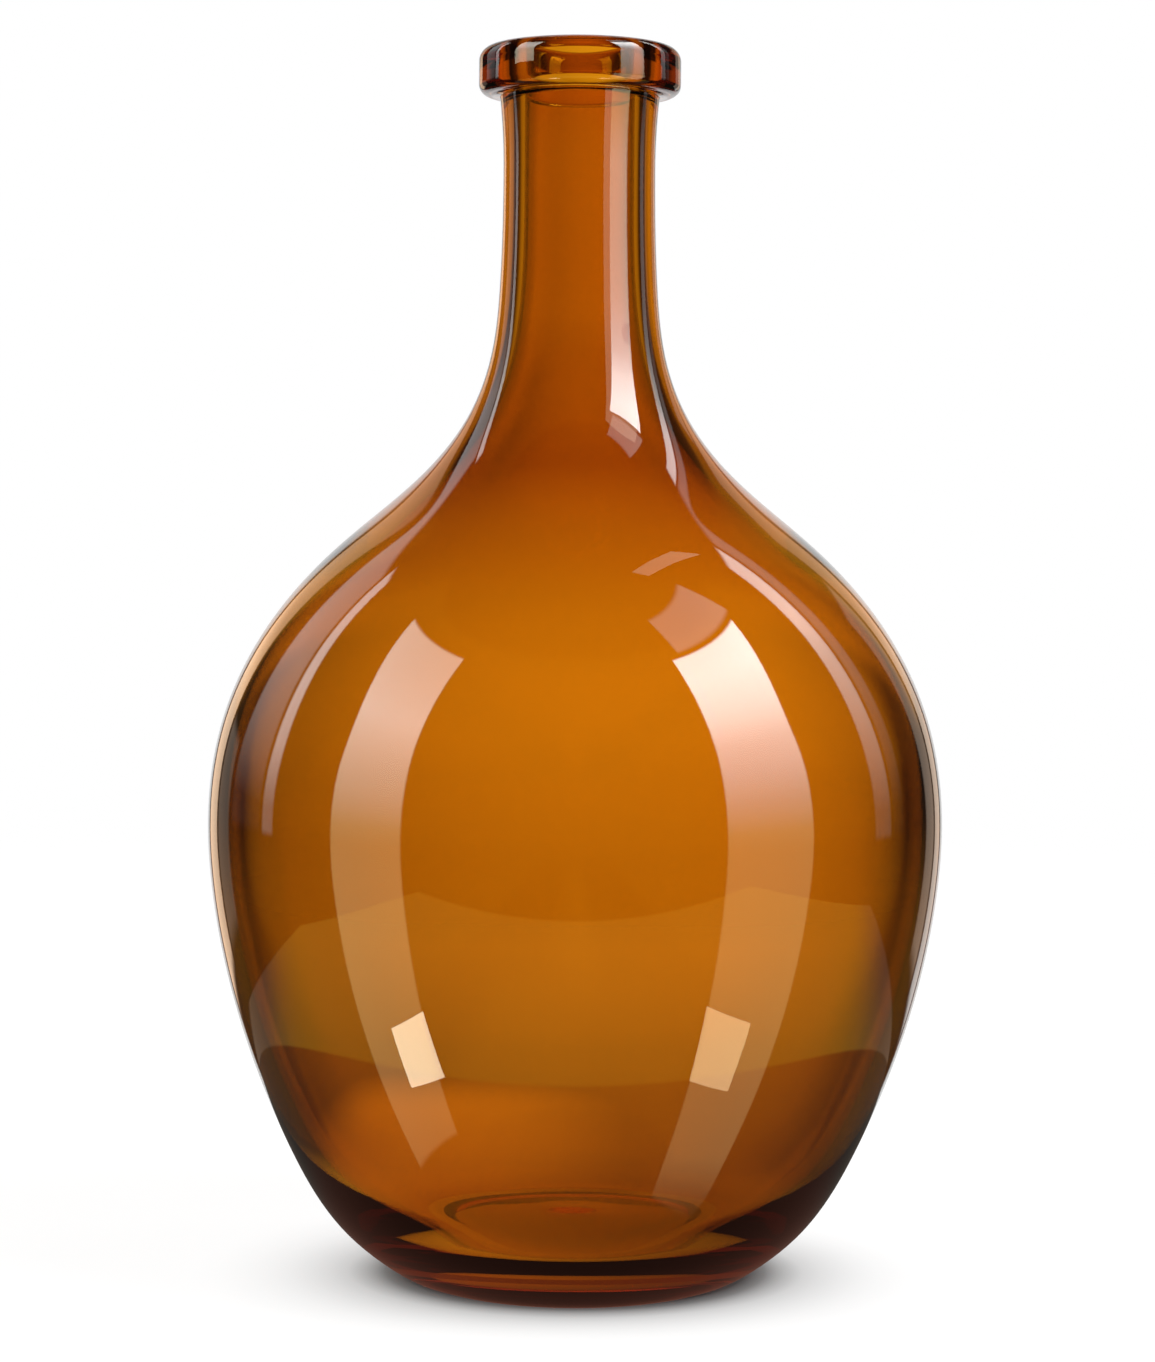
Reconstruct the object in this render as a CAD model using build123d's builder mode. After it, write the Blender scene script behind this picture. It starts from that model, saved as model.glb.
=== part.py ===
"""Bottle vase of thick amber glass: a blown body with a long neck, and the ring of glass wound on its end.

Millimetres. Z points up, and the origin is the centre of the foot, on the table.
"""

import os

from build123d import *

# Outside of the body
height = 400.0  # with the lip ring
foot_radius = 51.6  # outer edge of the flat ring that the vase stands on
belly_radius = 119.9
belly_height = 149.0
neck_radius = 24.7  # the slimmest place
neck_drop = 23.0  # from the end of the neck, under the lip ring, down to the slimmest place
neck_end_radius = 26.0  # the neck widens a little towards the lip

# Glass thickness, measured square to the wall
heel_wall = 9.5
belly_wall = 6.0
shoulder_wall = 5.1
neck_bore_radius = 17.9

# Base
base_thickness = 13.5  # table to the inner floor, at its edge
floor_radius = 59.5  # inner floor, out to where the line of the wall meets it
floor_rounding = 38.0  # rounds that corner into a bowl
floor_rise = 1.0  # the inner floor swells up towards the middle
nub_radius = 11.0  # small knob in the middle of the inner floor
nub_rise = 0.7
punt_radius = 45.0  # hollow under the base, inside the foot ring
punt_depth = 6.0
punt_rounding = 2.5

# Lip ring
lip_radius = 32.8
lip_height = 15.4
lip_bore_radius = 17.6
lip_top_rounding = 4.5
lip_bottom_rounding = 3.4
mouth_rounding = 3.2
crease_rounding = 0.8  # softens the seam between neck and ring, inside and outside

# Foot to belly: share of the way out to the belly, share of the belly's height
lower_shares = [
    (0.18, 0.035),
    (0.38, 0.115),
    (0.628, 0.302),
    (0.780, 0.470),
    (0.911, 0.672),
    (0.980, 0.850),
]

# Belly to neck: share of the way out from the neck to the belly, share of the way up
upper_shares = [
    (0.943, 0.1655),
    (0.784, 0.307),
    (0.546, 0.4245),
    (0.276, 0.5285),
    (0.115, 0.621),
    (0.042, 0.707),
    (0.010, 0.822),
]

# Thickness below the belly: share of the way along the outline, share of the way from belly to heel wall
lower_wall_shares = [
    (0.080, 1.00),
    (0.100, 0.80),
    (0.120, 0.51),
    (0.160, 0.20),
    (0.220, 0.09),
    (0.300, 0.04),
]

# Thickness from the belly up to the shoulder, and from the shoulder up to the neck, in the same way
upper_wall_shares = [
    (0.400, 0.00),
    (0.480, 0.70),
    (0.570, 1.00),
]
throat_wall_shares = [
    (0.640, 0.35),
    (0.700, 0.85),
    (0.760, 1.05),
    (0.820, 1.05),
    (0.880, 1.00),
]

# Inner floor: share of its radius, share of its swelling
floor_shares = [
    (0.25, 0.80),
    (0.50, 0.30),
    (0.66, 0.02),
]

# Hollow under the base: share of its radius, share of its depth
punt_shares = [
    (0.35, 0.95),
    (0.65, 0.82),
    (0.85, 0.62),
    (0.95, 0.32),
]


def between(low, high, share):
    """The value that lies this share of the way from low to high."""
    return low + share * (high - low)


body_height = height - lip_height
neck_height = body_height - neck_drop
floor_top = base_thickness + floor_rise + nub_rise

lower_points = [
    (between(foot_radius, belly_radius, out_share), belly_height * up_share)
    for out_share, up_share in lower_shares
]
upper_points = [
    (between(neck_radius, belly_radius, out_share), between(belly_height, neck_height, up_share))
    for out_share, up_share in upper_shares
]
floor_points = [
    (floor_radius * out_share, base_thickness + floor_rise * up_share)
    for out_share, up_share in floor_shares
]
punt_points = [
    (punt_radius * out_share, punt_depth * up_share)
    for out_share, up_share in punt_shares
]
neck_wall = neck_radius - neck_bore_radius
walls = (
    [(along, between(belly_wall, heel_wall, share)) for along, share in lower_wall_shares]
    + [(along, between(belly_wall, shoulder_wall, share)) for along, share in upper_wall_shares]
    + [(along, between(shoulder_wall, neck_wall, share)) for along, share in throat_wall_shares]
)
body_corners = [
    ((punt_radius, 0), punt_rounding),
    ((floor_radius, base_thickness), floor_rounding),
    ((neck_end_radius, body_height), crease_rounding),
    ((neck_bore_radius, body_height), crease_rounding),
]
outwards = (1, 0)
upwards = (0, 1)

with BuildPart() as blown_body:
    with BuildSketch(Plane.XZ) as body_section:
        with BuildLine():
            Spline(
                (0, punt_depth),
                *punt_points,
                (punt_radius, 0),
                tangents=[outwards, (Vector(punt_radius, 0) - punt_points[-1]).normalized()],
                tangent_scalars=[1, 1],
            )
            Line((punt_radius, 0), (foot_radius, 0))
            outside = Spline(
                (foot_radius, 0),
                *lower_points,
                (belly_radius, belly_height),
                *upper_points,
                (neck_radius, neck_height),
                tangents=[outwards, upwards],
                tangent_scalars=[1, 1],
            )
            TangentArc((neck_radius, neck_height), (neck_end_radius, body_height), tangent=upwards)
            inner_points = []
            for along, wall in walls:
                rising = outside % along
                inner_points.append(outside @ along + Vector(-rising.Y, rising.X) * wall)
            Spline(
                (floor_radius, base_thickness),
                *inner_points,
                (neck_bore_radius, neck_height),
                tangents=[(inner_points[0] - Vector(floor_radius, base_thickness)).normalized(), upwards],
                tangent_scalars=[1, 1],
            )
            Line((neck_bore_radius, neck_height), (neck_bore_radius, body_height))
            Line((neck_bore_radius, body_height), (neck_end_radius, body_height))
            Spline(
                (0, floor_top),
                (nub_radius, base_thickness + floor_rise),
                *floor_points,
                (floor_radius, base_thickness),
                tangents=[outwards, outwards],
                tangent_scalars=[1, 1],
            )
            Line((0, punt_depth), (0, floor_top))
        make_face()
        for corner, rounding in body_corners:
            fillet(body_section.vertices().sort_by_distance(corner)[0], rounding)
    revolve(axis=Axis.Z)

ring_corners = [
    ((lip_radius, height), lip_top_rounding),
    ((lip_radius, body_height), lip_bottom_rounding),
    ((lip_bore_radius, height), mouth_rounding),
    ((lip_bore_radius, body_height), crease_rounding),
]

with BuildPart() as lip_ring:
    with BuildSketch(Plane.XZ) as ring_section:
        with Locations((lip_bore_radius, body_height)):
            Rectangle(lip_radius - lip_bore_radius, lip_height, align=(Align.MIN, Align.MIN))
        for corner, rounding in ring_corners:
            fillet(ring_section.vertices().sort_by_distance(corner)[0], rounding)
    revolve(axis=Axis.Z)

os.makedirs("parts", exist_ok=True)
blown_body.part.label = "blown_body"
export_step(blown_body.part, "parts/blown_body.step")
lip_ring.part.label = "lip_ring"
export_step(lip_ring.part, "parts/lip_ring.step")
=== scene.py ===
"""The looks of the bottle vase: clear amber glass on a pale table, lit as in a small studio. Metres."""

import math

import bpy
import numpy as np
from mathutils import Matrix


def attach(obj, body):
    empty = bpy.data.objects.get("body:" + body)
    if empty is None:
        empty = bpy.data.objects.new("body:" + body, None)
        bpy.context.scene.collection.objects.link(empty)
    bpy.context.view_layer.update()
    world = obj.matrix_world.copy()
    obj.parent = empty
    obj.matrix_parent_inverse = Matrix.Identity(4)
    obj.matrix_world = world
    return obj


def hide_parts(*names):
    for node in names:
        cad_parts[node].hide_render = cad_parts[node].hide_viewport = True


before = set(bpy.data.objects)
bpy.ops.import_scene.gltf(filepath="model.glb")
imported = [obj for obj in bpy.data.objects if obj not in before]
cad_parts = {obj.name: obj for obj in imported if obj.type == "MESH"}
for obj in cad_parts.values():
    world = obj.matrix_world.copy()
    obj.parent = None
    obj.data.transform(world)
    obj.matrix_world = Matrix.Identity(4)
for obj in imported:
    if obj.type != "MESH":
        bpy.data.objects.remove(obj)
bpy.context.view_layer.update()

MM = 0.001

# The vase's section, the same sizes as in the CAD
HEIGHT = 400.0 * MM
FOOT_RADIUS = 51.6 * MM
BELLY_RADIUS = 119.9 * MM
BELLY_HEIGHT = 149.0 * MM
NECK_RADIUS = 24.7 * MM
NECK_DROP = 23.0 * MM
NECK_END_RADIUS = 26.0 * MM
HEEL_WALL = 9.5 * MM
BELLY_WALL = 6.0 * MM
SHOULDER_WALL = 5.1 * MM
NECK_BORE_RADIUS = 17.9 * MM
BASE_THICKNESS = 13.5 * MM
FLOOR_RADIUS = 59.5 * MM
FLOOR_RISE = 1.0 * MM
FLOOR_ROUNDING = 38.0 * MM
NUB_RADIUS = 11.0 * MM
NUB_RISE = 0.7 * MM
PUNT_RADIUS = 45.0 * MM
PUNT_DEPTH = 6.0 * MM
LIP_RADIUS = 32.8 * MM
LIP_HEIGHT = 15.4 * MM
LIP_BORE_RADIUS = 17.6 * MM
LIP_TOP_ROUNDING = 4.5 * MM
LIP_BOTTOM_ROUNDING = 3.4 * MM
MOUTH_ROUNDING = 3.2 * MM
CREASE_ROUNDING = 0.8 * MM

LOWER_SHARES = [(0.18, 0.035), (0.38, 0.115), (0.628, 0.302), (0.780, 0.470), (0.911, 0.672), (0.980, 0.850)]
UPPER_SHARES = [
    (0.943, 0.1655), (0.784, 0.307), (0.546, 0.4245), (0.276, 0.5285), (0.115, 0.621), (0.042, 0.707),
    (0.010, 0.822),
]
LOWER_WALL_SHARES = [
    (0.080, 1.00), (0.100, 0.80), (0.120, 0.51), (0.160, 0.20), (0.220, 0.09), (0.300, 0.04),
]
UPPER_WALL_SHARES = [(0.400, 0.00), (0.480, 0.70), (0.570, 1.00)]
THROAT_WALL_SHARES = [(0.640, 0.35), (0.700, 0.85), (0.760, 1.05), (0.820, 1.05), (0.880, 1.00)]
FLOOR_SHARES = [(0.25, 0.80), (0.50, 0.30), (0.66, 0.02)]
PUNT_SHARES = [(0.35, 0.95), (0.65, 0.82), (0.85, 0.62), (0.95, 0.32)]

BODY_HEIGHT = HEIGHT - LIP_HEIGHT
NECK_HEIGHT = BODY_HEIGHT - NECK_DROP
OUTWARDS = (1, 0)
UPWARDS = (0, 1)
PUNT_EDGE_DIRECTION = (0.6, -0.8)

# How finely the surface is divided, and the distance below which two places count as one
TURNS = 240
PUNT_STEPS = 30
OUTSIDE_STEPS = 130
NECK_END_STEPS = 14
CREASE_STEPS = 7
LIP_BOTTOM_STEPS = 10
LIP_TOP_STEPS = 12
INSIDE_STEPS = 110
FLOOR_ROUNDING_STEPS = 16
FLOOR_STEPS = 34
SAME_PLACE = 1e-7


def between(low, high, share):
    return low + share * (high - low)


class Spline:
    """A smooth curve through points, with a direction at each end."""

    def __init__(self, points, first, last):
        self.points = np.array(points, float)
        steps = np.hypot(*np.diff(self.points, axis=0).T)
        self.along = np.concatenate([[0], np.cumsum(steps)])
        count = len(self.points)
        left = np.zeros((count, count))
        right = np.zeros((count, 2))
        left[0, 0] = left[-1, -1] = 1
        right[0], right[-1] = first, last
        for i in range(1, count - 1):
            before, after = steps[i - 1], steps[i]
            left[i, i - 1 : i + 2] = after, 2 * (before + after), before
            right[i] = 3 * (
                after * (self.points[i] - self.points[i - 1]) / before
                + before * (self.points[i + 1] - self.points[i]) / after
            )
        self.slopes = np.linalg.solve(left, right)

    def at(self, shares):
        """Places and directions at these shares of the way along."""
        way = np.atleast_1d(shares) * self.along[-1]
        i = np.clip(np.searchsorted(self.along, way, side="right") - 1, 0, len(self.points) - 2)
        length = (self.along[i + 1] - self.along[i])[:, None]
        t = (way - self.along[i])[:, None] / length
        start, end = self.points[i], self.points[i + 1]
        leaving, arriving = self.slopes[i] * length, self.slopes[i + 1] * length
        place = (
            (2 * t**3 - 3 * t**2 + 1) * start
            + (t**3 - 2 * t**2 + t) * leaving
            + (3 * t**2 - 2 * t**3) * end
            + (t**3 - t**2) * arriving
        )
        direction = (
            (6 * t**2 - 6 * t) * start
            + (3 * t**2 - 4 * t + 1) * leaving
            + (6 * t - 6 * t**2) * end
            + (3 * t**2 - 2 * t) * arriving
        )
        return place, direction / np.linalg.norm(direction, axis=1)[:, None]


def outside_curve():
    """The outside of the body, from the foot to the slimmest place of the neck."""
    lower = [(between(FOOT_RADIUS, BELLY_RADIUS, out), BELLY_HEIGHT * up) for out, up in LOWER_SHARES]
    upper = [
        (between(NECK_RADIUS, BELLY_RADIUS, out), between(BELLY_HEIGHT, NECK_HEIGHT, up))
        for out, up in UPPER_SHARES
    ]
    points = [(FOOT_RADIUS, 0), *lower, (BELLY_RADIUS, BELLY_HEIGHT), *upper, (NECK_RADIUS, NECK_HEIGHT)]
    return Spline(points, OUTWARDS, UPWARDS)


def inside_curve(outside):
    """The inside of the body, from the inner floor's edge to the neck, and its direction at that edge."""
    neck_wall = NECK_RADIUS - NECK_BORE_RADIUS
    walls = (
        [(along, between(BELLY_WALL, HEEL_WALL, share)) for along, share in LOWER_WALL_SHARES]
        + [(along, between(BELLY_WALL, SHOULDER_WALL, share)) for along, share in UPPER_WALL_SHARES]
        + [(along, between(SHOULDER_WALL, neck_wall, share)) for along, share in THROAT_WALL_SHARES]
    )
    points = []
    for along, wall in walls:
        place, rising = outside.at(along)
        points.append(place[0] + np.array([-rising[0, 1], rising[0, 0]]) * wall)
    floor_edge = (FLOOR_RADIUS, BASE_THICKNESS)
    slope = points[0] - np.array(floor_edge)
    slope /= np.linalg.norm(slope)
    return Spline([floor_edge, *points, (NECK_BORE_RADIUS, NECK_HEIGHT)], slope, UPWARDS), slope


def floor_curve():
    """The inner floor, from the top of its nub out to its edge."""
    swell = [(FLOOR_RADIUS * out, BASE_THICKNESS + FLOOR_RISE * up) for out, up in FLOOR_SHARES]
    nub = [(0, BASE_THICKNESS + FLOOR_RISE + NUB_RISE), (NUB_RADIUS, BASE_THICKNESS + FLOOR_RISE)]
    return Spline([*nub, *swell, (FLOOR_RADIUS, BASE_THICKNESS)], OUTWARDS, OUTWARDS)


def punt_curve():
    """The hollow under the base, from its middle out to the foot ring."""
    points = [(PUNT_RADIUS * out, PUNT_DEPTH * up) for out, up in PUNT_SHARES]
    return Spline([(0, PUNT_DEPTH), *points, (PUNT_RADIUS, 0)], OUTWARDS, PUNT_EDGE_DIRECTION)


def run(curve, steps, first=0.0, last=1.0):
    """Places along a curve, between two shares of its length."""
    return curve.at(np.linspace(first, last, steps))[0]


def arc(centre, radius, start, end, steps):
    """Part of a circle, from one angle to another in degrees."""
    turn = np.radians(np.linspace(start, end, steps))
    return np.stack([centre[0] + radius * np.cos(turn), centre[1] + radius * np.sin(turn)], 1)


def rounding(corner, inwards, radius, start, steps):
    """A quarter circle in a corner. Inwards has the signs of the way from the corner to its centre."""
    centre = (corner[0] + inwards[0] * radius, corner[1] + inwards[1] * radius)
    return arc(centre, radius, start, start + 90, steps)


def neck_end():
    """The neck's outside above its slimmest place, where it widens towards the lip."""
    t = np.linspace(0, 1, NECK_END_STEPS)[:, None]
    start = np.array((NECK_RADIUS, NECK_HEIGHT))
    across, up = np.array((NECK_END_RADIUS, BODY_HEIGHT)) - start
    return start + np.concatenate([t**2 * across, t * up], 1)


def lip():
    """The lip ring's roundings in turn: up the outside, over the top and down the bore."""
    return [
        rounding((NECK_END_RADIUS, BODY_HEIGHT), (-1, -1), CREASE_ROUNDING, 0, CREASE_STEPS),
        rounding((LIP_RADIUS, BODY_HEIGHT), (-1, 1), LIP_BOTTOM_ROUNDING, -90, LIP_BOTTOM_STEPS),
        rounding((LIP_RADIUS, HEIGHT), (-1, -1), LIP_TOP_ROUNDING, 0, LIP_TOP_STEPS),
        rounding((LIP_BORE_RADIUS, HEIGHT), (1, -1), MOUTH_ROUNDING, 90, LIP_TOP_STEPS),
        rounding((LIP_BORE_RADIUS, BODY_HEIGHT), (1, 1), CREASE_ROUNDING, 180, CREASE_STEPS),
        rounding((NECK_BORE_RADIUS, BODY_HEIGHT), (1, -1), CREASE_ROUNDING, 90, CREASE_STEPS),
    ]


def section():
    """The glass in section: a closed run of (radius, height), outside first, from the middle of the base."""
    outside = outside_curve()
    inside, slope = inside_curve(outside)
    floor = floor_curve()
    turn = math.atan2(slope[1], slope[0])
    cut = FLOOR_ROUNDING * math.tan(turn / 2)
    bowl_centre = (FLOOR_RADIUS - cut, BASE_THICKNESS + FLOOR_ROUNDING)
    parts = [
        run(punt_curve(), PUNT_STEPS),
        run(outside, OUTSIDE_STEPS),
        neck_end()[:-1],
        *lip(),
        run(inside, INSIDE_STEPS, 1.0, cut / inside.along[-1]),
        arc(bowl_centre, FLOOR_ROUNDING, -90 + math.degrees(turn), -90, FLOOR_ROUNDING_STEPS)[1:],
        run(floor, FLOOR_STEPS, 1.0 - cut / floor.along[-1], 0.0)[1:],
    ]
    points = np.concatenate(parts)
    steps = np.hypot(*np.diff(points, axis=0).T)
    return points[np.concatenate([[True], steps > SAME_PLACE])]


def new_object(name, places, faces):
    mesh = bpy.data.meshes.new(name)
    mesh.from_pydata(places, [], faces)
    thing = bpy.data.objects.new(name, mesh)
    bpy.context.scene.collection.objects.link(thing)
    return thing


def revolve(name, outline, turns):
    """A closed surface made by turning an outline that starts and ends on the axis."""
    rim = outline[1:-1]
    angle = np.arange(turns) * 2 * math.pi / turns
    places = np.concatenate([
        [[0, 0, outline[0, 1]]],
        np.stack([
            (rim[:, :1] * np.cos(angle)).ravel(),
            (rim[:, :1] * np.sin(angle)).ravel(),
            np.repeat(rim[:, 1], turns),
        ], 1),
        [[0, 0, outline[-1, 1]]],
    ])
    last = len(places) - 1
    ring = np.arange(turns)
    after = (ring + 1) % turns
    faces = [(0, 1 + b, 1 + a) for a, b in zip(ring, after)]
    for row in range(len(rim) - 1):
        low, high = 1 + row * turns, 1 + (row + 1) * turns
        faces += [(low + a, low + b, high + b, high + a) for a, b in zip(ring, after)]
    end = 1 + (len(rim) - 1) * turns
    faces += [(last, end + a, end + b) for a, b in zip(ring, after)]
    thing = new_object(name, places.tolist(), faces)
    thing.data.validate()
    thing.data.shade_smooth()
    return thing


# Helpers for nodes

WHITE = (1.0, 1.0, 1.0)


def feed(tree, socket, value):
    """Gives a socket a number, a colour or another node's output."""
    if isinstance(value, bpy.types.NodeSocket):
        tree.links.new(value, socket)
    elif isinstance(value, tuple):
        socket.default_value = (*value, 1)
    else:
        socket.default_value = value


def maths(tree, operation, *values):
    """One sum on the node tree: each value is a number or another node's output."""
    node = tree.nodes.new("ShaderNodeMath")
    node.operation = operation
    for socket, value in zip(node.inputs, values):
        feed(tree, socket, value)
    return node.outputs[0]


def product(tree, first, *others):
    for other in others:
        first = maths(tree, "MULTIPLY", first, other)
    return first


def ramp(tree, value, low, high, start=0.0, end=1.0):
    """Goes smoothly from start to end while the value goes from low to high."""
    node = tree.nodes.new("ShaderNodeMapRange")
    node.interpolation_type = "SMOOTHSTEP"
    names = ("Value", "From Min", "From Max", "To Min", "To Max")
    for name, number in zip(names, (value, low, high, start, end)):
        feed(tree, node.inputs[name], number)
    return node.outputs[0]


def window(tree, value, low, high, soft):
    """1 between low and high, 0 outside."""
    rise = ramp(tree, maths(tree, "SUBTRACT", value, low), 0, soft)
    fall = ramp(tree, maths(tree, "SUBTRACT", high, value), 0, soft)
    return product(tree, rise, fall)


def colours(tree, value, low, high, stops):
    """A colour that changes with the value, by stops of (value, strength, tint), and its strength."""
    strongest = max(strength for _, strength, _ in stops)
    node = tree.nodes.new("ShaderNodeValToRGB")
    elements = node.color_ramp.elements
    while len(elements) < len(stops):
        elements.new(0.5)
    for element, (place, strength, tint) in zip(elements, stops):
        element.position = (place - low) / (high - low)
        element.color = (*(strength / strongest * part for part in tint), 1)
    share = tree.nodes.new("ShaderNodeMapRange")
    for name, number in (("Value", value), ("From Min", low), ("From Max", high)):
        feed(tree, share.inputs[name], number)
    tree.links.new(share.outputs[0], node.inputs[0])
    return node.outputs["Color"], strongest


def brightness(tree, value, low, high, stops):
    """A brightness that changes with the value, by stops of (value, brightness)."""
    grey_stops = [(place, strength, WHITE) for place, strength in stops]
    grey, strongest = colours(tree, value, low, high, grey_stops)
    return product(tree, grey, strongest)


def mixed_colour(tree, share, first, second):
    """The first colour where the share is 0, the second where it is 1."""
    node = tree.nodes.new("ShaderNodeMix")
    node.data_type = "RGBA"
    for name, value in (("Factor", share), ("A", first), ("B", second)):
        feed(tree, node.inputs[name], value)
    return node.outputs["Result"]


def coordinates(tree, kind):
    """The three numbers of a place or a direction."""
    split = tree.nodes.new("ShaderNodeSeparateXYZ")
    tree.links.new(tree.nodes.new("ShaderNodeTexCoord").outputs[kind], split.inputs[0])
    return split.outputs


def light(tree, kind, colour, strength=1.0):
    """A shader that shines: a background or an emission."""
    node = tree.nodes.new(kind)
    feed(tree, node.inputs["Color"], colour)
    feed(tree, node.inputs["Strength"], strength)
    return node.outputs[0]


def clear(tree):
    return tree.nodes.new("ShaderNodeBsdfTransparent").outputs[0]


def together(tree, first, *others):
    """All these shaders added up."""
    for other in others:
        node = tree.nodes.new("ShaderNodeAddShader")
        tree.links.new(first, node.inputs[0])
        tree.links.new(other, node.inputs[1])
        first = node.outputs[0]
    return first


def either(tree, share, first, second):
    """The first shader where the share is 0, the second where it is 1. None stands for black."""
    node = tree.nodes.new("ShaderNodeMixShader")
    for socket, value in zip(node.inputs, (share, first, second)):
        if value is not None:
            tree.links.new(value, socket)
    return node.outputs[0]


def mirrored_share(tree):
    """1 for what is seen mirrored in the glass, 0 for what is seen through it or straight."""
    path = tree.nodes.new("ShaderNodeLightPath")
    not_through = maths(tree, "SUBTRACT", 1.0, path.outputs["Is Transmission Ray"])
    return product(tree, path.outputs["Is Glossy Ray"], not_through)


# Glass

GLASS_TINT = (0.796, 0.494, 0.078)
# share of that tint that is left at a height: darker from the shoulder up the neck, nearly full again at the
# lip
TINT_SHARES_BY_HEIGHT = [
    (225 * MM, (1.0, 1.0, 1.0)), (243 * MM, (0.96, 0.94, 0.88)), (253 * MM, (0.87, 0.79, 0.58)),
    (264 * MM, (0.76, 0.62, 0.40)), (280 * MM, (0.79, 0.66, 0.40)), (300 * MM, (0.81, 0.69, 0.40)),
    (315 * MM, (0.86, 0.77, 0.50)), (383 * MM, (0.87, 0.78, 0.50)), (388 * MM, (0.96, 0.94, 0.80)),
]
DEPTH_TINT = (0.912, 0.724, 0.0)
DEPTH_OF_COLOUR = 180
REFRACTIVE_INDEX = 1.52


def amber_glass():
    """Half of the colour comes with each surface that is crossed, the rest with the way through."""
    material = bpy.data.materials.new("amber_glass")
    material.use_nodes = True
    tree = material.node_tree
    shader = tree.nodes["Principled BSDF"]
    stops = [
        (height, 1.0, tuple(share * part for share, part in zip(shares, GLASS_TINT)))
        for height, shares in TINT_SHARES_BY_HEIGHT
    ]
    tint, _ = colours(tree, coordinates(tree, "Object")["Z"], 0, HEIGHT, stops)
    tree.links.new(tint, shader.inputs["Base Color"])
    shader.inputs["Roughness"].default_value = 0.0
    shader.inputs["IOR"].default_value = REFRACTIVE_INDEX
    shader.inputs["Transmission Weight"].default_value = 1.0
    absorb = tree.nodes.new("ShaderNodeVolumeAbsorption")
    absorb.inputs["Color"].default_value = (*DEPTH_TINT, 1)
    absorb.inputs["Density"].default_value = DEPTH_OF_COLOUR
    tree.links.new(absorb.outputs["Volume"], tree.nodes["Material Output"].inputs["Volume"])
    return material


# World: the lamps and cards that the glass mirrors, and the backdrop that shows through it.
# Near and far are the edges, in degrees round from straight in front of the vase or straight behind it, and
# more than 0 on the right. Low and high are the ends, in degrees above the horizon. A stop has its degrees
# above the horizon, a strength and a tint.

WARM = (1.0, 0.86, 0.42)
LOW_LAMP = (1.0, 0.75, 0.32)
BEIGE = (1.0, 0.70, 0.48)
PALE_BEIGE = (1.0, 0.78, 0.62)
ROOM = (1.0, 0.8, 0.65)
ROOM_MIRRORED = 0.03
ROOM_THROUGH_GLASS = 0.008

RIGHT_LAMP = dict(
    near=46.3, far=77.5, low=-60, high=54.5, soft=1.0, bend=0.0145, bend_from=22,
    stops=[
        (-60, 1.5, LOW_LAMP), (-45, 1.9, LOW_LAMP), (-17, 2.5, LOW_LAMP), (-4, 2.7, LOW_LAMP),
        (0, 2.7, WARM), (8, 3.8, (1, 0.97, 0.85)), (16, 5.6, WHITE), (24, 7.5, WHITE),
        (35, 13.0, WHITE), (46, 16.0, WHITE), (53, 15.0, WHITE),
    ],
)
LEFT_LAMP = dict(
    near=-53.3, far=-79.7, low=-50, high=53, soft=1.0, bend=-0.0115, bend_from=17,
    stops=[
        (-50, 1.6, LOW_LAMP), (-20, 3.0, LOW_LAMP), (-11, 3.1, LOW_LAMP), (-4, 3.1, LOW_LAMP),
        (0, 3.2, WARM), (8, 4.5, (1, 0.95, 0.72)), (17, 5.9, (1, 0.97, 0.82)), (30, 8.0, (1, 0.99, 0.92)),
        (44, 6.6, (1, 0.98, 0.9)), (52, 6.0, (1, 0.97, 0.88)),
    ],
)
OVER_RIGHT_LAMP = dict(
    near=51, far=97, low=55, high=68, soft=1.5,
    stops=[(55, 2.2, WHITE), (68, 1.9, WHITE)],
)
RIGHT_REAR_LAMP = dict(
    near=104, far=114, low=-5, high=54, soft=1.5, bend=0.009, bend_from=8, both_edges=True,
    stops=[(0, 0.3, WHITE), (15, 1.6, WHITE), (30, 3.4, WHITE), (40, 5.5, WHITE), (54, 5.0, WHITE)],
)
RIGHT_REAR_GLOW = dict(
    near=114, far=122, low=-5, high=54, soft=2, bend=0.009, bend_from=8, both_edges=True,
    stops=[(0, 0.02, WHITE), (15, 0.3, WHITE), (30, 0.7, WHITE), (54, 1.0, WHITE)],
)
LEFT_REAR_LAMP = dict(
    near=-105, far=-112, low=-5, high=46, soft=1.5, bend=-0.013, bend_from=8, both_edges=True,
    stops=[(0, 0.8, WHITE), (12, 3.0, WHITE), (25, 4.0, WHITE), (46, 3.5, WHITE)],
)
LEFT_REAR_GLOW = dict(
    near=-112, far=-133, low=-5, high=44, soft=2, bend=-0.013, bend_from=8, both_edges=True,
    stops=[(0, 0.05, WHITE), (12, 0.7, WHITE), (25, 1.3, WHITE), (44, 1.2, WHITE)],
)
ROUND_FROM_THE_FRONT = [
    RIGHT_LAMP, LEFT_LAMP, OVER_RIGHT_LAMP,
    RIGHT_REAR_LAMP, RIGHT_REAR_GLOW, LEFT_REAR_LAMP, LEFT_REAR_GLOW,
]

LEFT_CARD = dict(
    near=-20, far=-33, low=-14, high=42, soft=1.5,
    stops=[(-14, 1.6, BEIGE), (6, 1.9, BEIGE), (14, 1.0, BEIGE), (42, 0.5, BEIGE)],
)
LEFT_CARD_EDGE = dict(
    near=-33, far=-46, low=-14, high=6, soft=2,
    stops=[(-14, 0.3, PALE_BEIGE), (6, 0.38, PALE_BEIGE)],
)
RIGHT_CARD = dict(
    near=20, far=30, low=-15, high=30, soft=1.5,
    stops=[
        (-14, 1.0, WHITE), (-6, 1.2, PALE_BEIGE), (6, 1.3, PALE_BEIGE), (14, 0.9, BEIGE), (30, 0.5, BEIGE),
    ],
)
RIGHT_CARD_EDGE = dict(
    near=30, far=41, low=-15, high=24, soft=2,
    stops=[(-14, 0.55, PALE_BEIGE), (6, 0.55, PALE_BEIGE)],
)
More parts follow.
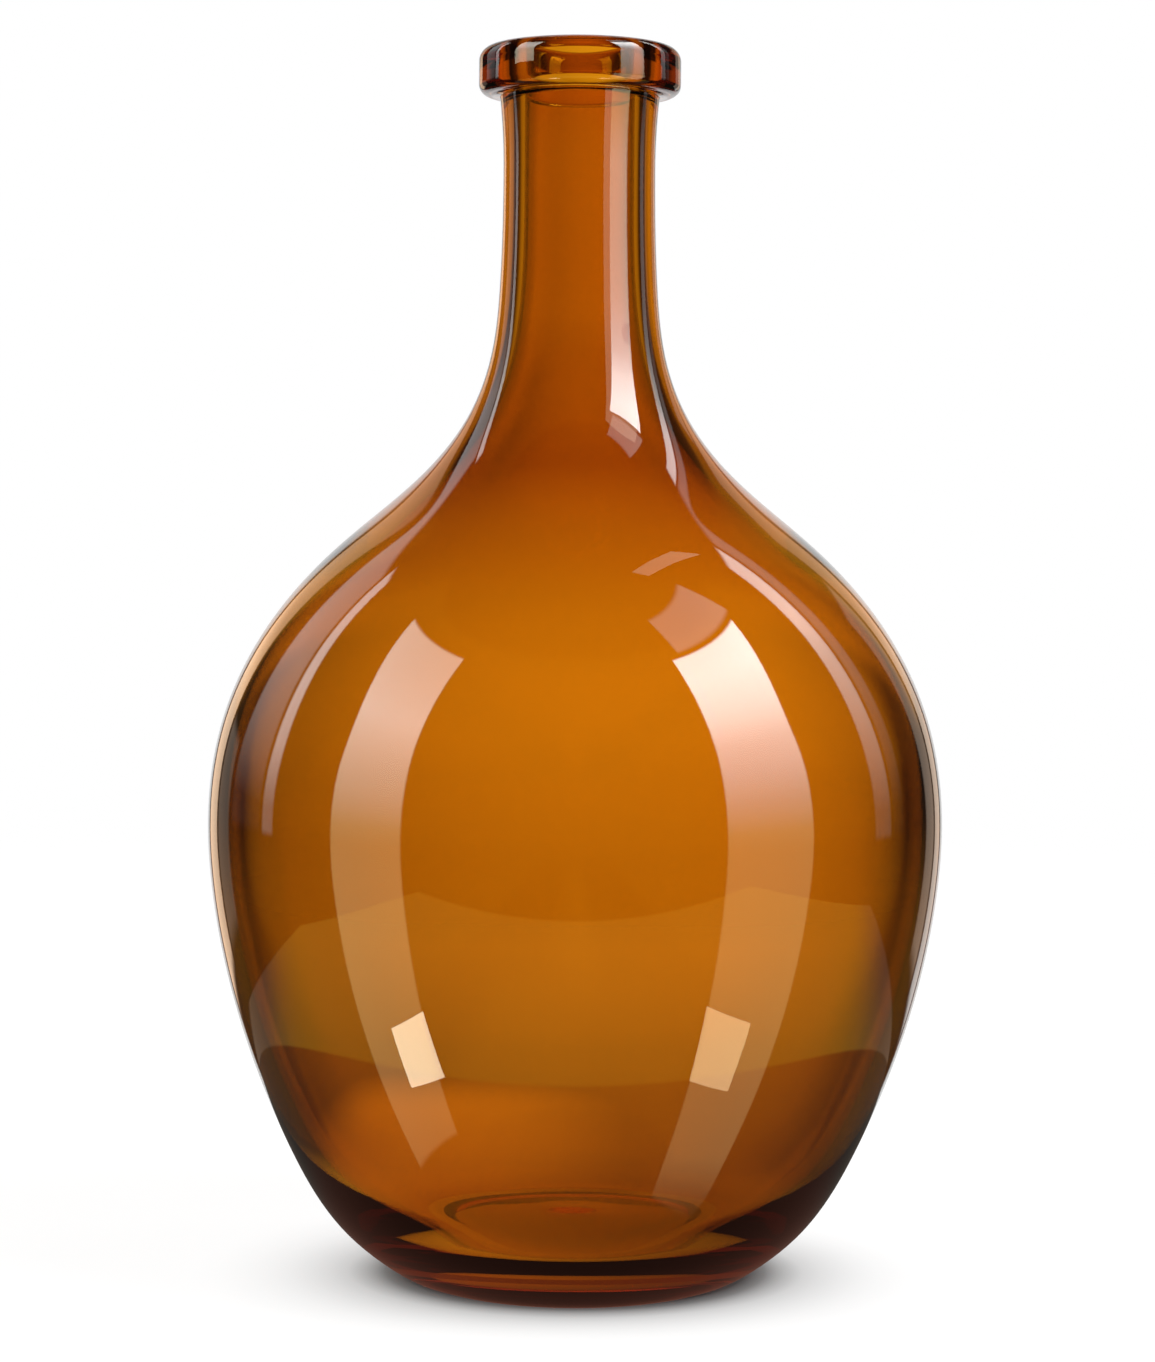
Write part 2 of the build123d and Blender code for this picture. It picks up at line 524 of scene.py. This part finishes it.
BACKDROP_MIRRORED = dict(
    near=-20, far=20, low=-40, high=62, soft=3,
    stops=[(-15, 0.9, WHITE), (62, 0.8, WHITE)],
)
ROUND_FROM_BEHIND = [LEFT_CARD, LEFT_CARD_EDGE, RIGHT_CARD, RIGHT_CARD_EDGE, BACKDROP_MIRRORED]

# The backdrop through the glass goes all the way round, by stops of brightness across it
BACKDROP = dict(
    near=-200, far=200, low=-40, high=62, soft=3,
    stops=[
        (-15, 0.82, WHITE), (-8, 0.9, WHITE), (-7, 0.97, WHITE), (-6, 1.1, WHITE), (-5, 1.22, WHITE),
        (-3, 1.28, WHITE), (-1.3, 1.25, WHITE), (3, 1.17, WHITE), (6, 1.2, WHITE), (62, 0.8, WHITE),
    ],
)
BACKDROP_ACROSS = [
    (-180, 0.8), (-90, 0.8), (-65, 0.7), (-57, 0.4), (-52, 0.0), (-34, 0.0), (-26, 0.08), (-20, 0.03),
    (-16, 0.06), (-13.5, 0.35), (-11, 0.48), (-8, 0.54), (-6, 0.70), (-4, 0.82), (-2, 0.93), (0, 0.98),
    (3, 1.0), (5, 1.0), (7, 0.84), (9, 0.72), (11, 0.60), (13, 0.36), (15, 0.08), (20, 0.03), (26, 0.06),
    (34, 0.0), (52, 0.0), (57, 0.4), (65, 0.7), (90, 0.8), (180, 0.8),
]
# the same higher up, with the range of degrees above the horizon in which the one turns into the other
BACKDROP_ACROSS_HIGH = [
    (-180, 0.8), (-90, 0.8), (-65, 0.7), (-56, 0.5), (-50, 0.1), (-36, 0.03), (-31, 0.03), (-27, 0.5),
    (-20, 0.65), (-14, 0.9), (-8, 0.82), (-5, 0.80), (0, 0.95), (6, 1.05), (12, 1.0), (20, 0.62), (27, 0.5),
    (31, 0.1), (36, 0.03), (50, 0.05), (56, 0.5), (65, 0.7), (90, 0.8), (180, 0.8),
]
HIGH_FROM = (0.0, 3.5)


def backdrop_brightness(tree, degrees_right, stops):
    return brightness(tree, degrees_right, -180, 180, stops)


def patch(
    sky, side, rise, near, far, low, high, soft, stops,
    bend=0.0, bend_from=0.0, both_edges=False, share=None,
):
    """A glowing upright patch. Above bend_from one edge bends: the right one, or the left if bend < 0."""
    over = maths(sky, "MAXIMUM", maths(sky, "SUBTRACT", rise, bend_from), 0.0)
    shift = product(sky, over, over, bend)
    left, right = min(near, far), max(near, far)
    if bend < 0 or both_edges:
        left = maths(sky, "ADD", shift, left)
    if bend > 0 or both_edges:
        right = maths(sky, "ADD", shift, right)
    mask = product(sky, window(sky, side, left, right, soft), window(sky, rise, low, high, soft))
    if share:
        mask = product(sky, mask, share)
    colour, strongest = colours(sky, rise, -90, 90, stops)
    return light(sky, "ShaderNodeBackground", colour, product(sky, mask, strongest))


def light_the_world():
    world = bpy.data.worlds.new("studio")
    bpy.context.scene.world = world
    world.use_nodes = True
    sky = world.node_tree
    sky.nodes.clear()
    x, y, z = coordinates(sky, "Generated")
    front = maths(sky, "DEGREES", maths(sky, "ARCTAN2", x, product(sky, y, -1.0)))
    back = maths(sky, "DEGREES", maths(sky, "ARCTAN2", x, y))
    rise = maths(sky, "DEGREES", maths(sky, "ARCSINE", z))

    mirrored_room = together(
        sky, light(sky, "ShaderNodeBackground", ROOM, ROOM_MIRRORED),
        *(patch(sky, front, rise, **lamp) for lamp in ROUND_FROM_THE_FRONT),
        *(patch(sky, back, rise, **card) for card in ROUND_FROM_BEHIND),
    )

    highness = ramp(sky, rise, *HIGH_FROM)
    lowness = maths(sky, "SUBTRACT", 1.0, highness)
    low_part = product(sky, backdrop_brightness(sky, back, BACKDROP_ACROSS), lowness)
    high_part = product(sky, backdrop_brightness(sky, back, BACKDROP_ACROSS_HIGH), highness)
    room_behind = together(
        sky, light(sky, "ShaderNodeBackground", ROOM, ROOM_THROUGH_GLASS),
        patch(sky, back, rise, share=maths(sky, "ADD", low_part, high_part), **BACKDROP),
    )

    # the eye sees a white background, and no lamp
    ray = sky.nodes.new("ShaderNodeLightPath")
    in_glass = either(sky, ray.outputs["Is Transmission Ray"], mirrored_room, room_behind)
    white = light(sky, "ShaderNodeBackground", WHITE)
    everything = either(sky, ray.outputs["Is Camera Ray"], in_glass, white)
    sky.links.new(everything, sky.nodes.new("ShaderNodeOutputWorld").inputs["Surface"])


# Table: a pale sheet that fades out before its edge. Places on it count from the vase's axis: to the right,
# and behind, away from the camera. A range is where one thing turns into the other.

TABLE_HALF = 1.6
TABLE_FADE = (0.5, 1.4)
SHEET_GREY = (0.11, 0.11, 0.11)
FILL = 0.93

# the contact shadow: its middle, how much more its depth counts, and stops of (distance, share of the light)
SHADOW_MIDDLE = (0.001, -0.004)
SHADOW_DEPTH = 1.23
CONTACT_SHADOW = [
    (0.058, 0.02), (0.065, 0.20), (0.070, 0.45), (0.074, 0.58), (0.078, 0.66), (0.085, 0.76), (0.0925, 0.85),
    (0.102, 0.93), (0.112, 0.97), (0.122, 1.0),
]

# the table through the glass, with painted shade: stops of (distance, brightness), darkest under the vase
# and brighter away from it
THROUGH_GLASS = [
    (0.0, 0.15), (0.035, 0.2), (0.055, 0.34), (0.09, 0.42), (0.25, 0.46), (0.32, 0.54), (0.37, 0.58),
    (0.425, 0.68), (0.545, 0.82), (0.69, 0.93), (0.86, 0.88), (1.1, 0.95), (1.4, 1.05),
]
# its sides are painted dim, as the backdrop's are. They run out like a fan: its half width at the vase, the
# least one in front, how much it gains with the distance behind, and how many degrees of the backdrop it
# stands for
FAN_HALF_WIDTH = 0.075
FAN_LEAST_HALF_WIDTH = 0.05
FAN_SPREAD = 0.31
FAN_DEGREES = 14.5
# a brighter place close behind the vase, painted light: its brightness on the left and on the right, its
# reach and its ends
NEAR_VASE = (1.9, 0.75)
NEAR_VASE_CHANGE = (-0.04, 0.05)
NEAR_VASE_REACH = (0.20, 0.36)
NEAR_VASE_LEFT_END = (-0.135, -0.085)
NEAR_VASE_RIGHT_END = (0.065, 0.115)

# the table mirrored in the glass, a painted reflection: the part of it that glows, with two of its corners
# cut off at a slant
GLOW_ACROSS = dict(low=-0.49, high=0.61, soft=0.01)
GLOW_DEPTH = dict(low=-0.51, high=0.21, soft=0.02)
LEFT_SLANT = -0.805
LEFT_CUT = (-0.456, -0.448)
RIGHT_SLANT = 3.4
RIGHT_CUT = (0.80, 0.84)
# its colour in front and behind, and the same for the dark disc round the foot, painted shade where the
# vase's shadow would lie
GLOW = (0.9, 0.6, 0.07)
GLOW_BEHIND = (0.24, 0.19, 0.15)
GLOW_CHANGE = (-0.05, 0.12)
DISC = (0.17, 0.065, 0.045)
DISC_BEHIND = (0.08, 0.065, 0.055)
DISC_CHANGE = (-0.05, 0.08)
DISC_MIDDLE = (0, 0.055)
DISC_EDGE = (0.240, 0.245)
# where the lamps show through the sheet, as images of them would lie in it: a painted reflection
LAMPS_IN_FRONT = (-0.09, 0.0)
LAMPS_CLEAR_OF_FOOT = (0.10, 0.14)


def away(tree, right, behind, middle=(0, 0), depth=1.0):
    """Distance over the table from a point on it, with the depth counted more or less."""
    across = maths(tree, "SUBTRACT", right, middle[0])
    back = product(tree, maths(tree, "SUBTRACT", behind, middle[1]), depth)
    squares = maths(tree, "ADD", product(tree, across, across), product(tree, back, back))
    return maths(tree, "SQRT", squares)


def table_through_glass(tree, right, behind, reach):
    """How bright the table shows through the glass: painted shade under the vase and at the sides, painted
    light close behind it.
    """
    half_width = maths(tree, "ADD", product(tree, behind, FAN_SPREAD), FAN_HALF_WIDTH)
    half_width = maths(tree, "MAXIMUM", half_width, FAN_LEAST_HALF_WIDTH)
    degrees_right = product(tree, maths(tree, "DIVIDE", right, half_width), FAN_DEGREES)
    # painted light: a brighter place on the table close behind the vase
    painted_light_near_vase = product(
        tree,
        ramp(tree, reach, *NEAR_VASE_REACH, 1.0, 0.0),
        ramp(tree, right, *NEAR_VASE_CHANGE, *NEAR_VASE),
        ramp(tree, right, *NEAR_VASE_LEFT_END),
        ramp(tree, right, *NEAR_VASE_RIGHT_END, 1.0, 0.0),
    )
    across = maths(tree, "MAXIMUM", backdrop_brightness(tree, degrees_right, BACKDROP_ACROSS), painted_light_near_vase)
    return product(tree, brightness(tree, reach, 0, TABLE_HALF, THROUGH_GLASS), across)


def table_as_seen(tree, right, behind, reach):
    """The sheet: for the eye, a painted shadow under the vase and close round its foot; dimmer through the
    glass, by painted shade.
    """
    sheet = tree.nodes.new("ShaderNodeBsdfDiffuse")
    sheet.inputs["Color"].default_value = (*SHEET_GREY, 1)
    by_eye = tree.nodes.new("ShaderNodeLightPath").outputs["Is Camera Ray"]
    shadow = away(tree, right, behind, SHADOW_MIDDLE, SHADOW_DEPTH)
    # painted contact shadow: the sheet's glow for the eye is weaker close round the foot
    for_eye = product(tree, by_eye, brightness(tree, shadow, 0, TABLE_HALF, CONTACT_SHADOW))
    through = table_through_glass(tree, right, behind, reach)
    for_glass = product(tree, maths(tree, "SUBTRACT", 1.0, by_eye), through)
    strength = product(tree, maths(tree, "ADD", for_eye, for_glass), FILL)
    bright = together(tree, sheet.outputs[0], light(tree, "ShaderNodeEmission", WHITE, strength))
    return either(tree, ramp(tree, reach, *TABLE_FADE), bright, clear(tree))


def table_mirrored(tree, right, behind, reach):
    """What the glass mirrors of the table, all painted: a warm glow, dark painted shade round the foot, and
    in front the lamps' painted reflection.
    """
    left_line = maths(tree, "ADD", right, product(tree, behind, LEFT_SLANT))
    right_line = maths(tree, "ADD", right, product(tree, behind, RIGHT_SLANT))
    glowing = product(
        tree,
        window(tree, right, **GLOW_ACROSS),
        window(tree, behind, **GLOW_DEPTH),
        ramp(tree, left_line, *LEFT_CUT),
        ramp(tree, right_line, *RIGHT_CUT, 1.0, 0.0),
    )
    glow = mixed_colour(tree, ramp(tree, behind, *GLOW_CHANGE), GLOW, GLOW_BEHIND)
    disc = mixed_colour(tree, ramp(tree, behind, *DISC_CHANGE), DISC, DISC_BEHIND)
    outside_disc = ramp(tree, away(tree, right, behind, DISC_MIDDLE), *DISC_EDGE)
    # painted reflection: the table glows only where the glass mirrors it
    painted_glow = light(tree, "ShaderNodeEmission", mixed_colour(tree, outside_disc, disc, glow))
    lamps_show = product(
        tree,
        ramp(tree, behind, *LAMPS_IN_FRONT, 1.0, 0.0),
        ramp(tree, reach, *LAMPS_CLEAR_OF_FOOT),
    )
    lamps_below = either(tree, lamps_show, None, clear(tree))
    return either(tree, glowing, clear(tree), together(tree, painted_glow, lamps_below))


def lay_table():
    half = TABLE_HALF
    corners = [(-half, -half, 0), (half, -half, 0), (half, half, 0), (-half, half, 0)]
    table = new_object("table_top", corners, [(0, 1, 2, 3)])
    material = bpy.data.materials.new("pale_table")
    table.data.materials.append(material)
    material.use_nodes = True
    tree = material.node_tree
    tree.nodes.clear()
    right, behind, _ = coordinates(tree, "Object")
    reach = away(tree, right, behind)
    surface = either(
        tree, mirrored_share(tree),
        table_as_seen(tree, right, behind, reach),
        table_mirrored(tree, right, behind, reach),
    )
    tree.links.new(surface, tree.nodes.new("ShaderNodeOutputMaterial").inputs["Surface"])


# Painted reflections: cards that show only mirrored in the glass and light nothing. They stand for the
# lamps' bright ends mirrored in the table in front of the vase, a narrow lamp close to the neck on the
# right, and a dark card on its left

ON_TABLE = 0.0004
CREAM = (1.0, 0.85, 0.60)
SPOT_ORANGE = (1.0, 0.75, 0.42)
PEACH = (1.0, 0.82, 0.6)
LEFT_SPOT_PLACES = [(-0.191, -0.156), (-0.176, -0.204), (-0.110, -0.160), (-0.130, -0.131)]
LEFT_SPOT_STRENGTH = 12.0
RIGHT_SPOT_PLACES = [(0.163, -0.227), (0.194, -0.168), (0.124, -0.135), (0.099, -0.165)]
RIGHT_SPOT_STRENGTH = 6.5
NECK_HIGHLIGHT_ENDS = [(0.050, -0.0805), (0.083, -0.0375)]
NECK_HIGHLIGHT_HEIGHTS = (0.328, 0.385)
NECK_HIGHLIGHT_STRENGTH = 2.2
NECK_DARK_REFLECTION_ENDS = [(-0.040, -0.090), (-0.105, -0.020)]
NECK_DARK_REFLECTION_HEIGHTS = (0.318, 0.40)
NECK_DARK_REFLECTION_STRENGTH = 0.03


def lying(places):
    """The corners of a card that lies on the table."""
    return [(x, y, ON_TABLE) for x, y in places]


def upright(ends, heights):
    """The corners of a card that stands upright between two places."""
    low, high = heights
    return [(x, y, low) for x, y in ends] + [(x, y, high) for x, y in reversed(ends)]


def glowing_card(name, corners, colour, strength, solid=False):
    """A flat card that shows only mirrored in the glass, a painted reflection that lights nothing. A solid
    one also hides what is behind it there.
    """
    card = new_object(name, corners, [(0, 1, 2, 3)])
    material = bpy.data.materials.new(name)
    card.data.materials.append(material)
    material.use_nodes = True
    tree = material.node_tree
    tree.nodes.clear()
    lit = light(tree, "ShaderNodeEmission", colour, strength)
    if not solid:
        lit = together(tree, lit, clear(tree))
    surface = either(tree, mirrored_share(tree), clear(tree), lit)
    tree.links.new(surface, tree.nodes.new("ShaderNodeOutputMaterial").inputs["Surface"])


light_the_world()
lay_table()
# painted reflections: lamp images on the table, a painted highlight on the neck and painted shade beside it
glowing_card("left_spot", lying(LEFT_SPOT_PLACES), CREAM, LEFT_SPOT_STRENGTH)
glowing_card("right_spot", lying(RIGHT_SPOT_PLACES), SPOT_ORANGE, RIGHT_SPOT_STRENGTH)
glowing_card("neck_highlight_card", upright(NECK_HIGHLIGHT_ENDS, NECK_HIGHLIGHT_HEIGHTS), PEACH, NECK_HIGHLIGHT_STRENGTH)
glowing_card(
    "neck_dark_reflection", upright(NECK_DARK_REFLECTION_ENDS, NECK_DARK_REFLECTION_HEIGHTS), ROOM, NECK_DARK_REFLECTION_STRENGTH, solid=True,
)

vase = revolve("vase_glass", section(), TURNS)
vase.data.materials.append(amber_glass())
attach(vase, "root")
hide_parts("blown_body", "lip_ring")

# Camera, at the photograph's place: its focal length and long side in the photograph's pixels
FOCAL_PIXELS = 3052.9
LONG_SIDE_PIXELS = 1362
SENSOR = 36
DISTANCE = 1000.0 * MM
ASIDE = 0.5 * MM
EYE = 250.5 * MM
PITCH = 0.056
ROLL = math.radians(0.39)
NEAREST = 10 * MM

camera = bpy.data.cameras.new("camera")
camera.sensor_width = SENSOR
camera.lens = SENSOR * FOCAL_PIXELS / LONG_SIDE_PIXELS
camera.clip_start = NEAREST
eye = bpy.data.objects.new("camera", camera)
eye.matrix_world = (
    Matrix.Translation((ASIDE, -DISTANCE, EYE))
    @ Matrix.Rotation(math.pi / 2 - PITCH, 4, "X")
    @ Matrix.Rotation(ROLL, 4, "Z")
)
bpy.context.scene.collection.objects.link(eye)
bpy.context.scene.camera = eye
bpy.context.scene.view_settings.view_transform = "Standard"
